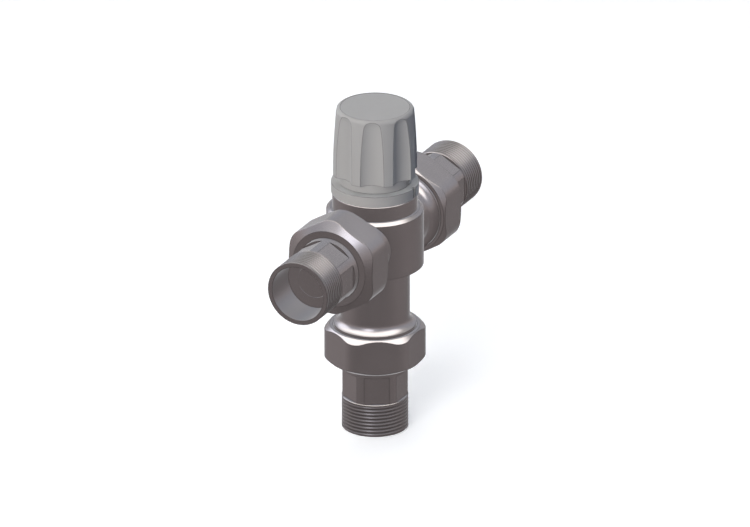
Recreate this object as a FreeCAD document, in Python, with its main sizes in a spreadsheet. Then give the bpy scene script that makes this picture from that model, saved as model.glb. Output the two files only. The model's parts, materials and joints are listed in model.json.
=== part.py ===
import FreeCAD
import Part
import math
import os
import re
import Sketcher

# Thermostatic mixing valve: a brass body with two inlets in line and an outlet below, each with a
# union nut and a threaded tailpiece. A knob on top turns a spindle that raises or lowers a sprung
# carrier, and a wax element hangs from it and moves a double-seated shuttle between hot and cold.
#
# Millimetres, +Z up along the body's axis, X along the inlets (hot on -X, cold on +X).
# The origin is the centre of the outlet's end face, at the bottom.

# Driving dimensions: name, value and what it measures.
SIZES = [
    ("side_seat", 34.3, "body axis to an inlet's union face"),
    ("outlet_seat", 48.4, "port axis down to the outlet's union face"),
    ("barrel_radius", 19.35, "outside of the round barrel"),
    ("barrel_above", 11.8, "top of the barrel above the port axis"),
    ("barrel_below", 12.4, "bottom of the barrel below the port axis"),
    ("barrel_bevel_rise", 1.15, "height of the bevel at the barrel's top edge"),
    ("barrel_bevel_in", 1.5, "width of the bevel at the barrel's top edge"),
    ("neck_radius", 13.85, "outside of the necks"),
    ("union_radius", 16.5, "outside of the one inch pipe thread on the necks"),
    ("union_length", 10.3, "length of the threaded collar on each neck"),
    ("flare_length", 3.6, "axial length of the hollow flare from neck to collar"),
    ("flare_curve", 3.8, "radius of the flare"),
    ("edge_bevel", 0.8, "bevel at thread ends"),
    ("port_bore", 11.0, "water way in the necks"),
    ("port_wall", 17.0, "body axis to the blind end of an inlet's water way"),
    ("chamber_radius", 15.0, "hot chamber round the shuttle"),
    ("web_half", 2.0, "half height of the web between the hot and cold chambers"),
    ("seat_half", 7.0, "each shuttle seat above or below the port axis"),
    ("throat_radius", 9.5, "water way below the hot seat"),
    ("ledge_depth", 28.0, "return spring's ledge below the port axis"),
    ("ledge_thickness", 2.0, "thickness of the return spring's ledge"),
    ("ledge_bore", 7.0, "hole in the return spring's ledge"),
    ("window_width", 13.0, "width of the window from an inlet to its chamber"),
    ("window_margin", 0.25, "window's distance from web and seat"),
    ("fit_gap", 0.05, "radial clearance of threads and guides"),
    ("seal_gap", 0.02, "radial clearance of a ring in its bore"),
    ("shank_radius", 15.0, "thread on the bonnet"),
    ("head_radius", 17.0, "plain ring of the bonnet above the barrel"),
    ("head_height", 6.4, "height of the bonnet's ring"),
    ("head_bevel", 0.45, "bevel on the top edge of the bonnet's ring"),
    ("stem_radius", 12.0, "neck of the bonnet inside the plastic parts"),
    ("stem_height", 15.8, "height of the bonnet's neck above its ring"),
    ("bonnet_cavity", 10.0, "guide for the carrier inside the bonnet"),
    ("bonnet_roof", 4.0, "thickness of the bonnet's top wall"),
    ("key_width", 2.6, "width of the carrier's two keys"),
    ("key_reach", 0.8, "height of the keys above the carrier"),
    ("key_gap", 0.2, "clearance of the keys in their slots"),
    ("ring_groove_height", 1.8, "height of the groove for the bonnet's ring seal"),
    ("ring_groove_start", 1.4, "groove for the bonnet's ring seal above the shank's lower face"),
    ("bonnet_seal_wire", 0.85, "section radius of the bonnet's ring seal"),
    ("lock_radius", 17.45, "outside of the plastic ring"),
    ("lock_height", 4.4, "height of the plastic ring"),
    ("notch_width", 1.6, "width of the index notches"),
    ("notch_depth", 0.9, "depth of the index notches"),
    ("knob_gap", 0.3, "air between the plastic ring and the knob"),
    ("knob_height", 31.45, "height of the knob"),
    ("skirt_radius", 14.55, "plain skirt below the knob's ribs"),
    ("skirt_height", 3.7, "height of the plain skirt"),
    ("rib_base_radius", 17.0, "ribs at their lower end"),
    ("rib_top_radius", 15.65, "ribs just below the rim"),
    ("rib_curve", 220.0, "long curve of the ribs from base to rim"),
    ("rim_height", 1.7, "height of the rounded rim"),
    ("rim_curve", 1.8, "radius of the rounded rim"),
    ("knob_flat_radius", 13.9, "flat top of the knob"),
    ("flute_count", 8, "flutes round the knob"),
    ("flute_radius", 7.2, "radius of a flute"),
    ("flute_floor", 14.6, "flute's floor from the knob's axis"),
    ("flute_drop", 3.45, "centre of a flute's round end below the knob's top"),
    ("knob_hollow", 12.5, "inside of the knob"),
    ("knob_roof", 2.6, "thickness of the knob's top"),
    ("boss_radius", 6.6, "boss inside the knob"),
    ("boss_start", 13.3, "lower end of the boss above the knob's lower edge"),
    ("drive_flats", 7.0, "hexagon that turns the spindle, across flats"),
    ("drive_gap", 0.05, "clearance on each flat of the drive hexagon"),
    ("drive_length", 10.0, "length of the drive hexagon"),
    ("bearing_radius", 4.5, "spindle where it turns in the bonnet"),
    ("flange_radius", 7.0, "flange under the bonnet's top wall"),
    ("flange_height", 2.0, "height of the spindle's flange"),
    ("screw_radius", 5.0, "thread on the spindle"),
    ("screw_length", 7.4, "length of the spindle's thread"),
    ("spindle_seal_wire", 0.65, "section radius of the spindle's ring seal"),
    ("spindle_seal_height", 1.6, "height of the spindle's seal groove"),
    ("clip_height", 0.9, "thickness of the retaining clips"),
    ("clip_depth", 0.7, "depth of the retaining clips' grooves"),
    ("clip_reach", 1.2, "retaining clips stand out of their grooves by this"),
    ("carrier_radius", 9.95, "carrier in the bonnet"),
    ("carrier_drop", 2.0, "carrier's top below the spindle's flange"),
    ("carrier_height", 15.9, "height of the carrier"),
    ("carrier_thread_length", 6.4, "threaded length in the carrier's top"),
    ("pocket_radius", 7.0, "spring pocket in the carrier"),
    ("plunger_radius", 6.9, "overload plunger"),
    ("plunger_height", 2.0, "thickness of the overload plunger"),
    ("carrier_clip_start", 1.2, "clip's groove above the carrier's lower face"),
    ("overload_wire", 0.9, "section radius of the overload spring"),
    ("overload_coil", 5.7, "mean radius of the overload spring"),
    ("overload_turns", 2, "turns of the overload spring"),
    ("pin_radius", 1.5, "pin of the wax element"),
    ("pin_length", 9.6, "length of that pin"),
    ("shuttle_bore", 12.0, "body's web round the shuttle"),
    ("shuttle_stroke", 2.4, "shuttle's distance from each seat"),
    ("shuttle_wall", 2.1, "wall of the shuttle's sleeve"),
    ("hub_radius", 8.0, "hub inside the shuttle"),
    ("hub_half", 2.0, "half height of the hub"),
    ("spoke_width", 2.4, "width of the shuttle's spokes"),
    ("spoke_count", 4, "spokes of the shuttle"),
    ("shuttle_seal_wire", 0.75, "section radius of the shuttle's ring seal"),
    ("cup_radius", 6.0, "wax cup of the element"),
    ("cup_length", 22.0, "wax cup below the element's flange"),
    ("cup_curve", 1.5, "rounding at the cup's lower end"),
    ("element_flange_radius", 7.3, "flange that rests on the shuttle's hub"),
    ("element_flange_height", 1.5, "thickness of the element's flange"),
    ("guide_radius", 4.2, "pin guide of the element"),
    ("guide_height", 5.5, "height of the pin guide above the flange"),
    ("guide_depth", 7.6, "depth of the pin's hole"),
    ("return_wire", 0.6, "section radius of the return spring"),
    ("return_coil", 7.35, "mean radius of the return spring"),
    ("return_turns", 6, "turns of the return spring"),
    ("gasket_thickness", 1.6, "union gasket"),
    ("gasket_outer", 14.9, "outside of a union gasket"),
    ("gasket_inner", 10.7, "hole of a union gasket"),
    ("tail_length", 32.5, "tailpiece from its collar's face to its end"),
    ("tail_collar_radius", 15.0, "collar of a tailpiece"),
    ("tail_collar_height", 2.5, "thickness of that collar"),
    ("tail_radius", 13.0, "plain part of a tailpiece"),
    ("tail_flats", 24.0, "milled hexagon of a tailpiece, across flats"),
    ("flats_start", 8.8, "start of the milled hexagon from the collar's face"),
    ("flats_length", 11.3, "length of the milled hexagon"),
    ("pipe_thread_radius", 13.22, "three quarter inch pipe thread, outside"),
    ("tail_bore", 11.3, "bore at a tailpiece's end"),
    ("tail_bore_depth", 14.3, "depth of that bore in an inlet"),
    ("cage_bore", 10.5, "bore for the check valve's cage"),
    ("lip_thickness", 1.5, "seat lip of an inlet tailpiece"),
    ("lip_bore", 7.0, "hole in the seat lip"),
    ("cage_flange_radius", 12.0, "flange of the check valve's cage"),
    ("cage_flange_height", 1.2, "thickness of that flange"),
    ("cage_length", 9.8, "sleeve of the cage beyond its flange"),
    ("cage_wall", 1.2, "wall of the cage's sleeve"),
    ("cage_hub_radius", 3.2, "hub that guides the poppet"),
    ("cage_hub_height", 4.0, "height of that hub"),
    ("cage_arm_width", 2.0, "width of the cage's arms"),
    ("cage_arm_height", 3.0, "height of the cage's arms"),
    ("cage_arm_count", 3, "arms of the cage"),
    ("poppet_stem", 1.5, "stem of the poppet"),
    ("poppet_disc", 8.5, "disc of the poppet that meets the lip"),
    ("poppet_disc_height", 1.9, "thickness of the disc"),
    ("poppet_nose_gap", 0.12, "air round the poppet's nose in the lip"),
    ("poppet_seat_gap", 0.05, "air between disc and lip when shut"),
    ("check_wire", 0.35, "section radius of the check valve's spring"),
    ("check_coil", 4.6, "mean radius of the check valve's spring"),
    ("check_turns", 5, "turns of the check valve's spring"),
    ("nut_thread_gap", 0.1, "radial clearance of the nut's thread"),
    ("nut_side", 1.9, "nut's wall from its thread to a flat"),
    ("nut_corner", 8.0, "rounding of the nut's corners"),
    ("nut_overlap", 9.5, "nut's back face behind the union face"),
    ("nut_back_step", 0.5, "back bevel reaches in past the flats by this"),
    ("nut_back_bevel", 1.9, "axial length of the back bevel"),
    ("nut_front_step", 2.5, "front bevel reaches in past the flats by this"),
    ("nut_front_bevel", 2.4, "axial length of the front bevel"),
    ("nut_wall", 2.4, "front wall of the nut"),
    ("nut_hole_gap", 0.15, "air between the nut's hole and the tailpiece"),
    ("past", 1.0, "cuts and joins run past the surface they meet by this"),
]
CLIP_SWEEP = 310.0  # degrees of ring in a retaining clip
PAIR = "2"  # features on opposite sides of the axis
HEXAGON_SIDES = "6"

doc = FreeCAD.newDocument("MixingValve")
sheet = doc.addObject("Spreadsheet::Sheet", "Sizes")
for row, (alias, value, meaning) in enumerate(SIZES, start=1):
    sheet.set("A%d" % row, alias)
    sheet.set("B%d" % row, str(value))
    sheet.set("C%d" % row, meaning)
    sheet.setAlias("B%d" % row, alias)
doc.recompute()

ALIASES = re.compile(r"\b(" + "|".join(alias for alias, value, meaning in SIZES) + r")\b")

# Heights that several pieces share, as formulas of the driving dimensions.
PORT_Z = "(outlet_seat + gasket_thickness + tail_length)"
BONNET_BASE = "(%s + seat_half)" % PORT_Z
HEAD_BASE = "(%s + barrel_above)" % PORT_Z
HEAD_TOP = "(%s + head_height)" % HEAD_BASE
STEM_TOP = "(%s + stem_height)" % HEAD_TOP
CAVITY_TOP = "(%s - bonnet_roof)" % STEM_TOP
KNOB_BASE = "(%s + lock_height + knob_gap)" % HEAD_TOP
CARRIER_TOP = "(%s - flange_height - carrier_drop)" % CAVITY_TOP
CARRIER_BASE = "(%s - carrier_height)" % CARRIER_TOP
PLUNGER_BASE = "(%s + carrier_clip_start + clip_height)" % CARRIER_BASE
POCKET_HEIGHT = "(carrier_height - carrier_thread_length)"
OVERLOAD_SPACE = "(%s - carrier_clip_start - clip_height - plunger_height)" % POCKET_HEIGHT
SHUTTLE_BASE = "(%s - seat_half + shuttle_stroke)" % PORT_Z
SHUTTLE_HEIGHT = "(2 * seat_half - 2 * shuttle_stroke)"
LIP_TOP = "(tail_length - tail_bore_depth)"
LIP_BASE = "(%s - lip_thickness)" % LIP_TOP
NUT_DEPTH = "(nut_overlap + gasket_thickness + tail_collar_height)"
NUT_HEIGHT = "(%s + nut_wall)" % NUT_DEPTH
CHECK_SPRING_BASE = "(cage_flange_height + cage_hub_height)"
CHECK_SPRING_SPACE = "(%s - poppet_seat_gap - poppet_disc_height - %s)" % (LIP_BASE, CHECK_SPRING_BASE)


def formula(words):
    """The words of a formula with each name led by the sheet that holds it."""
    return ALIASES.sub(r"Sizes.\1", words)


def value_of(words):
    """The number that a formula gives now."""
    return float(sheet.evalExpression(formula(words)))


def bind(thing, prop, words):
    """Tie a property of a feature to a formula."""
    thing.setExpression(prop, formula(words))


def new_body(name, height="0"):
    """An empty body whose own origin stands on the valve's axis at a height."""
    body = doc.addObject("PartDesign::Body", name)
    body.Label = name
    if height != "0":
        bind(body, "Placement.Base.z", height)
    return body


def origin_part(body, role):
    """A plane or axis of the body's own origin."""
    return [part for part in body.Origin.OriginFeatures if part.Role == role][0]


def new_sketch(body, name, plane="XZ_Plane", shift="0"):
    """A sketch on one of the body's planes, moved along its own second axis."""
    sketch = body.newObject("Sketcher::SketchObject", body.Name + "_" + name)
    sketch.AttachmentSupport = [(origin_part(body, plane), "")]
    sketch.MapMode = "FlatFace"
    if shift != "0":
        bind(sketch, "AttachmentOffset.Base.y" if plane == "XZ_Plane" else "AttachmentOffset.Base.z", shift)
    return sketch


def arc_between(start, end, radius, side):
    """The short arc from start to end, its centre to the left of the way for side 1, right for -1."""
    chord = end - start
    middle = (start + end) * 0.5
    normal = FreeCAD.Vector(-chord.y, chord.x, 0).normalize()
    rise = math.sqrt(max(radius * radius - chord.Length * chord.Length / 4, 0))
    centre = middle + normal * (side * rise)
    first = math.atan2(start.y - centre.y, start.x - centre.x)
    last = math.atan2(end.y - centre.y, end.x - centre.x)
    circle = Part.Circle(centre, FreeCAD.Vector(0, 0, 1), radius)
    if side > 0:
        return Part.ArcOfCircle(circle, first, last if last > first else last + 2 * math.pi)
    return Part.ArcOfCircle(circle, last, first if first > last else first + 2 * math.pi)


def draw_outline(sketch, points):
    """A closed outline whose corners are bound to formulas. A corner is (across, up), and one that
    an arc leads to is (across, up, radius, side)."""
    spots = [FreeCAD.Vector(value_of(point[0]), value_of(point[1]), 0) for point in points]
    count = len(points)
    starts = []
    for index in range(count):
        following = (index + 1) % count
        target = points[following]
        if len(target) == 4:
            radius, side = target[2], target[3]
            shape = arc_between(spots[index], spots[following], value_of(radius), side)
            geometry = sketch.addGeometry(shape, False)
            starts.append((geometry, 1 if side > 0 else 2))
            number = sketch.addConstraint(Sketcher.Constraint("Radius", geometry, value_of(radius)))
            bind(sketch, "Constraints[%d]" % number, radius)
        else:
            geometry = sketch.addGeometry(Part.LineSegment(spots[index], spots[following]), False)
            starts.append((geometry, 1))
    for index in range(count):
        geometry, point_id = starts[index]
        before, before_start = starts[index - 1]
        before_end = 3 - before_start
        sketch.addConstraint(Sketcher.Constraint("Coincident", before, before_end, geometry, point_id))
        across, up = points[index][0], points[index][1]
        for kind, words, axis in (("DistanceX", across, -2), ("DistanceY", up, -1)):
            if words == "0":
                sketch.addConstraint(Sketcher.Constraint("PointOnObject", geometry, point_id, axis))
                continue
            number = sketch.addConstraint(
                Sketcher.Constraint(kind, -1, 1, geometry, point_id, value_of(words)))
            bind(sketch, "Constraints[%d]" % number, words)


def turned(body, name, points, axis="V_Axis", cut=False, angle=360.0, shift="0"):
    """A revolution, or a groove, of an outline about the sketch's upright or level axis."""
    sketch = new_sketch(body, name + "_outline", shift=shift)
    draw_outline(sketch, points)
    kind = "PartDesign::Groove" if cut else "PartDesign::Revolution"
    feature = body.newObject(kind, body.Name + "_" + name)
    feature.Profile = sketch
    feature.ReferenceAxis = (sketch, [axis])
    feature.Angle = angle
    sketch.Visibility = False
    body.Tip = feature
    return feature


def around(body, name, features, count):
    """Copies of features round the body's upright axis."""
    pattern = body.newObject("PartDesign::PolarPattern", body.Name + "_" + name)
    pattern.Originals = features
    pattern.Axis = (origin_part(body, "Z_Axis"), [""])
    pattern.Angle = 360
    bind(pattern, "Occurrences", count)
    body.Tip = pattern
    return pattern


def block(body, name, corner, size, cut=True):
    """A box in the body, from its lowest corner and its three lengths."""
    kind = "PartDesign::SubtractiveBox" if cut else "PartDesign::AdditiveBox"
    feature = body.newObject(kind, body.Name + "_" + name)
    for letter, words in zip("xyz", corner):
        bind(feature, "Placement.Base." + letter, words)
    for prop, words in zip(("Length", "Width", "Height"), size):
        bind(feature, prop, words)
    body.Tip = feature
    return feature


def hexagon(body, name, flats, height, base="0", cut=False):
    """A hexagonal prism with two corners on the X axis."""
    kind = "PartDesign::SubtractivePrism" if cut else "PartDesign::AdditivePrism"
    feature = body.newObject(kind, body.Name + "_" + name)
    feature.Polygon = int(HEXAGON_SIDES)
    bind(feature, "Circumradius", "(%s) / sqrt(3)" % flats)
    bind(feature, "Height", height)
    if base != "0":
        bind(feature, "Placement.Base.z", base)
    body.Tip = feature
    return feature


def ring_seal(name, height, outer, wire):
    """A ring of round section on the valve's axis, from its outer radius and section radius."""
    ring = doc.addObject("Part::Torus", name)
    ring.Label = name
    bind(ring, "Radius1", "%s - %s" % (outer, wire))
    bind(ring, "Radius2", wire)
    bind(ring, "Placement.Base.z", height)
    return ring


def coil(name, base, space, radius, wire, turns):
    """A coil spring that fills the space between two seats, from its lower seat's height."""
    body = new_body(name, base)
    sketch = new_sketch(body, "wire_section")
    circle = sketch.addGeometry(
        Part.Circle(FreeCAD.Vector(value_of(radius), value_of(wire), 0), FreeCAD.Vector(0, 0, 1),
                    value_of(wire)), False)
    for kind, words in (("DistanceX", radius), ("DistanceY", "%s + seal_gap" % wire)):
        number = sketch.addConstraint(Sketcher.Constraint(kind, -1, 1, circle, 3, value_of(words)))
        bind(sketch, "Constraints[%d]" % number, words)
    number = sketch.addConstraint(Sketcher.Constraint("Radius", circle, value_of(wire)))
    bind(sketch, "Constraints[%d]" % number, wire)
    helix = body.newObject("PartDesign::AdditiveHelix", name + "_coil")
    helix.Profile = sketch
    helix.ReferenceAxis = (sketch, ["V_Axis"])
    helix.Mode = 1
    bind(helix, "Turns", turns)
    bind(helix, "Pitch", "(%s - 2 * %s - 2 * seal_gap) / %s" % (space, wire, turns))
    sketch.Visibility = False
    body.Tip = helix
    return body


def clip(name, base, inner, outer):
    """An open retaining ring, from its height, inner and outer radius."""
    body = new_body(name, base)
    turned(body, "ring", [
        (inner, "0"),
        (outer, "0"),
        (outer, "clip_height - 2 * seal_gap"),
        (inner, "clip_height - 2 * seal_gap"),
    ], angle=CLIP_SWEEP)
    return body


def at_port(thing, port, offset):
    """Turn a piece made along +Z to point out of a port, its origin beyond the union face."""
    turns = {"hot": -90.0, "cold": 90.0, "outlet": 180.0}
    thing.Placement = FreeCAD.Placement(
        FreeCAD.Vector(0, 0, 0), FreeCAD.Rotation(FreeCAD.Vector(0, 1, 0), turns[port]))
    if port == "outlet":
        bind(thing, "Placement.Base.z", "%s - outlet_seat - (%s)" % (PORT_Z, offset))
        return
    sign = "-1" if port == "hot" else "1"
    bind(thing, "Placement.Base.x", "%s * (side_seat + %s)" % (sign, offset))
    bind(thing, "Placement.Base.z", PORT_Z)


def build_valve_body():
    """The cast and turned brass body, from the outlet's union face up to the barrel's top."""
    body = new_body("valve_body", "gasket_thickness + tail_length")
    top = "outlet_seat + barrel_above"
    bottom = "outlet_seat - barrel_below"
    flare_end = "union_length + flare_length"
    turned(body, "barrel", [
        ("0", "0"),
        ("union_radius - edge_bevel", "0"),
        ("union_radius", "edge_bevel"),
        ("union_radius", "union_length"),
        ("neck_radius", flare_end, "flare_curve", -1),
        ("neck_radius", bottom),
        ("barrel_radius", bottom),
        ("barrel_radius", top + " - barrel_bevel_rise"),
        ("barrel_radius - barrel_bevel_in", top),
        ("0", top),
    ])
    neck = turned(body, "inlet_neck", [
        ("0", "0"),
        ("side_seat", "0"),
        ("side_seat", "union_radius - edge_bevel"),
        ("side_seat - edge_bevel", "union_radius"),
        ("side_seat - union_length", "union_radius"),
        ("side_seat - union_length - flare_length", "neck_radius", "flare_curve", -1),
        ("0", "neck_radius"),
    ], axis="H_Axis", shift="outlet_seat")
    around(body, "inlet_necks", [neck], PAIR)
    turned(body, "top_facing", [
        ("0", top),
        ("barrel_radius - barrel_bevel_in", top),
        ("barrel_radius", top + " - barrel_bevel_rise"),
        ("barrel_radius", "outlet_seat + neck_radius + past"),
        ("0", "outlet_seat + neck_radius + past"),
    ], cut=True)
    turned(body, "foot_facing", [
        ("neck_radius", "outlet_seat - neck_radius - past"),
        ("barrel_radius", "outlet_seat - neck_radius - past"),
        ("barrel_radius", bottom),
        ("neck_radius", bottom),
    ], cut=True)
    turned(body, "upright_bore", [
        ("0", "0"),
        ("port_bore", "0"),
        ("port_bore", "outlet_seat - ledge_depth - ledge_thickness"),
        ("ledge_bore", "outlet_seat - ledge_depth - ledge_thickness"),
        ("ledge_bore", "outlet_seat - ledge_depth"),
        ("throat_radius", "outlet_seat - ledge_depth"),
        ("throat_radius", "outlet_seat - seat_half"),
        ("chamber_radius", "outlet_seat - seat_half"),
        ("chamber_radius", "outlet_seat - web_half"),
        ("shuttle_bore", "outlet_seat - web_half"),
        ("shuttle_bore", "outlet_seat + web_half"),
        ("shank_radius + fit_gap", "outlet_seat + web_half"),
        ("shank_radius + fit_gap", top),
        ("0", top),
    ], cut=True)
    bore = turned(body, "inlet_bore", [
        ("port_wall", "0"),
        ("side_seat", "0"),
        ("side_seat", "port_bore"),
        ("port_wall", "port_bore"),
    ], axis="H_Axis", cut=True, shift="outlet_seat")
    around(body, "inlet_bores", [bore], PAIR)
    reach = "port_wall - chamber_radius + 2 * window_margin + past"
    opening = "seat_half - web_half - 2 * window_margin"
    block(body, "hot_window",
          ("-1 * port_wall - window_margin", "-0.5 * window_width", "outlet_seat - seat_half + window_margin"),
          (reach, "window_width", opening))
    block(body, "cold_window",
          ("port_wall + window_margin - (%s)" % reach, "-0.5 * window_width",
           "outlet_seat + web_half + window_margin"),
          (reach, "window_width", opening))
    return body


def build_bonnet():
    """The brass head: threaded shank, plain ring and a hollow neck that guides the carrier."""
    body = new_body("bonnet", BONNET_BASE)
    shank = "(barrel_above - seat_half)"
    head = "(%s + head_height)" % shank
    stem = "(%s + stem_height)" % head
    groove_end = "ring_groove_start + ring_groove_height"
    groove_floor = "shank_radius - 2 * bonnet_seal_wire - fit_gap"
    turned(body, "shell", [
        ("bonnet_cavity", "0"),
        ("shank_radius", "0"),
        ("shank_radius", "ring_groove_start"),
        (groove_floor, "ring_groove_start"),
        (groove_floor, groove_end),
        ("shank_radius", groove_end),
        ("shank_radius", shank),
        ("head_radius", shank),
        ("head_radius", head + " - head_bevel"),
        ("head_radius - head_bevel", head),
        ("stem_radius", head),
        ("stem_radius", stem),
        ("bearing_radius + fit_gap", stem),
        ("bearing_radius + fit_gap", stem + " - bonnet_roof"),
        ("bonnet_cavity", stem + " - bonnet_roof"),
    ])
    slot = block(body, "key_slot",
                 ("0", "-0.5 * key_width - key_gap", "0"),
                 ("bonnet_cavity + key_reach + key_gap", "key_width + 2 * key_gap", stem + " - bonnet_roof"))
    around(body, "key_slots", [slot], PAIR)
    return body


def build_lock_ring():
    """The plastic ring that clips on the bonnet's neck, with the index notch towards -Y."""
    body = new_body("lock_ring", HEAD_TOP)
    turned(body, "ring", [
        ("stem_radius + fit_gap", "0"),
        ("lock_radius", "0"),
        ("lock_radius", "lock_height"),
        ("stem_radius + fit_gap", "lock_height"),
    ])
    block(body, "index_notch",
          ("-0.5 * notch_width", "-1 * lock_radius - past", "0"),
          ("notch_width", "notch_depth + past", "lock_height"))
    return body


def build_knob():
    """The moulded knob: tapered ribs between flutes, a plain skirt, and a boss with a hexagon."""
    body = new_body("temperature_knob", KNOB_BASE)
    turned(body, "outside", [
        ("0", "0"),
        ("skirt_radius", "0"),
        ("skirt_radius", "skirt_height"),
        ("rib_base_radius", "skirt_height"),
        ("rib_top_radius", "knob_height - rim_height", "rib_curve", 1),
        ("knob_flat_radius", "knob_height", "rim_curve", 1),
        ("0", "knob_height"),
    ])
    flute = body.newObject("PartDesign::SubtractiveCylinder", "temperature_knob_flute")
    bind(flute, "Height", "knob_height - flute_drop")
    flute_end = body.newObject("PartDesign::SubtractiveSphere", "temperature_knob_flute_end")
    bind(flute_end, "Placement.Base.z", "knob_height - flute_drop")
    for cutter in (flute, flute_end):
        bind(cutter, "Radius", "flute_radius")
        bind(cutter, "Placement.Base.x", "(flute_floor + flute_radius) * cos(180 deg / flute_count)")
        bind(cutter, "Placement.Base.y", "(flute_floor + flute_radius) * sin(180 deg / flute_count)")
    body.Tip = flute_end
    around(body, "flutes", [flute, flute_end], "flute_count")
    turned(body, "hollow", [
        ("0", "0"),
        ("knob_hollow", "0"),
        ("knob_hollow", "knob_height - knob_roof"),
        ("boss_radius", "knob_height - knob_roof"),
        ("boss_radius", "boss_start"),
        ("0", "boss_start"),
    ], cut=True)
    hexagon(body, "drive_socket", "drive_flats + 2 * drive_gap", "drive_length + drive_gap",
            base="boss_start", cut=True)
    block(body, "index_notch",
          ("-0.5 * notch_width", "-1 * skirt_radius - past", "0"),
          ("notch_width", "notch_depth + past", "skirt_height"))
    return body


def build_spindle():
    """The brass spindle: thread, flange, bearing with a seal groove, clip groove and hexagon."""
    base = "(%s - flange_height - screw_length)" % CAVITY_TOP
    body = new_body("adjusting_spindle", base)
    flange_top = "(screw_length + flange_height - seal_gap)"
    roof_top = "(screw_length + flange_height + bonnet_roof)"
    seal_start = "(%s + 0.5 * bonnet_roof - 0.5 * spindle_seal_height)" % "screw_length + flange_height"
    seal_end = "(%s + spindle_seal_height)" % seal_start
    seal_floor = "bearing_radius - 2 * spindle_seal_wire - fit_gap"
    clip_base = "(%s + fit_gap)" % roof_top
    clip_top = "(%s + clip_height)" % clip_base
    shoulder = "(%s - %s + boss_start)" % (KNOB_BASE, base)
    turned(body, "shaft", [
        ("0", "0"),
        ("screw_radius - edge_bevel", "0"),
        ("screw_radius", "edge_bevel"),
        ("screw_radius", "screw_length"),
        ("flange_radius", "screw_length"),
        ("flange_radius", flange_top),
        ("bearing_radius", flange_top),
        ("bearing_radius", seal_start),
        (seal_floor, seal_start),
        (seal_floor, seal_end),
        ("bearing_radius", seal_end),
        ("bearing_radius", clip_base),
        ("bearing_radius - clip_depth", clip_base),
        ("bearing_radius - clip_depth", clip_top),
        ("bearing_radius", clip_top),
        ("bearing_radius", shoulder),
        ("0", shoulder),
    ])
    hexagon(body, "drive", "drive_flats", "drive_length", base=shoulder)
    return body


def build_carrier():
    """The brass carrier: a cup with a threaded top and two keys that stop it from turning."""
    body = new_body("spring_carrier", CARRIER_BASE)
    clip_top = "carrier_clip_start + clip_height"
    turned(body, "cup", [
        ("pocket_radius", "0"),
        ("carrier_radius", "0"),
        ("carrier_radius", "carrier_height"),
        ("screw_radius + fit_gap", "carrier_height"),
        ("screw_radius + fit_gap", POCKET_HEIGHT),
        ("pocket_radius", POCKET_HEIGHT),
        ("pocket_radius", clip_top),
        ("pocket_radius + clip_depth", clip_top),
        ("pocket_radius + clip_depth", "carrier_clip_start"),
        ("pocket_radius", "carrier_clip_start"),
    ])
    key = block(body, "key",
                ("carrier_radius - past", "-0.5 * key_width", "0"),
                ("key_reach + past", "key_width", "carrier_height"), cut=False)
    around(body, "keys", [key], PAIR)
    return body


def build_plunger():
    """The overload plunger: a disc with a shallow seat for the element's pin."""
    body = new_body("overload_plunger", PLUNGER_BASE)
    turned(body, "disc", [
        ("0", "0"),
        ("plunger_radius", "0"),
        ("plunger_radius", "plunger_height"),
        ("0", "plunger_height"),
    ])
    return body


def build_pin():
    """The element's steel pin, which ends against the plunger."""
    body = new_body("element_pin", "%s - pin_length" % PLUNGER_BASE)
    turned(body, "rod", [
        ("0", "0"),
        ("pin_radius", "0"),
        ("pin_radius", "pin_length"),
        ("0", "pin_length"),
    ])
    return body


def build_shuttle():
    """The shuttle: a sleeve with a seat at each end, and a hub on spokes for the element."""
    body = new_body("shuttle", SHUTTLE_BASE)
    outer = "(shuttle_bore - fit_gap)"
    inner = "(%s - shuttle_wall)" % outer
    middle = "(0.5 * %s)" % SHUTTLE_HEIGHT
    groove_floor = "%s - 2 * shuttle_seal_wire" % outer
    spoke_start = "0.5 * (cup_radius + hub_radius)"
    turned(body, "sleeve", [
        (inner, "0"),
        (outer, "0"),
        (outer, middle + " - shuttle_seal_wire - fit_gap"),
        (groove_floor, middle + " - shuttle_seal_wire - fit_gap"),
        (groove_floor, middle + " + shuttle_seal_wire + fit_gap"),
        (outer, middle + " + shuttle_seal_wire + fit_gap"),
        (outer, SHUTTLE_HEIGHT),
        (inner, SHUTTLE_HEIGHT),
    ])
    spoke = block(body, "spoke",
                  (spoke_start, "-0.5 * spoke_width", middle + " - hub_half"),
                  ("0.5 * (%s + %s) - %s" % (inner, groove_floor, spoke_start), "spoke_width", "2 * hub_half"),
                  cut=False)
    around(body, "spokes", [spoke], "spoke_count")
    turned(body, "hub", [
        ("cup_radius + fit_gap", middle + " - hub_half"),
        ("hub_radius", middle + " - hub_half"),
        ("hub_radius", middle + " + hub_half"),
        ("cup_radius + fit_gap", middle + " + hub_half"),
    ])
    return body


def build_element():
    """The wax element: a copper cup, a flange that rests on the hub, and the pin's guide."""
    flange_base = "(%s + hub_half)" % PORT_Z
    body = new_body("wax_element", "%s - cup_length" % flange_base)
    flange_top = "(cup_length + element_flange_height)"
    guide_top = "(%s + guide_height)" % flange_top
    turned(body, "capsule", [
        ("0", "0"),
        ("cup_radius - cup_curve", "0"),
        ("cup_radius", "cup_curve", "cup_curve", 1),
        ("cup_radius", "cup_length"),
        ("element_flange_radius", "cup_length"),
        ("element_flange_radius", flange_top),
        ("guide_radius", flange_top),
        ("guide_radius", guide_top),
        ("pin_radius + fit_gap", guide_top),
        ("pin_radius + fit_gap", guide_top + " - guide_depth"),
        ("0", guide_top + " - guide_depth"),
    ])
    return body


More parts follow.
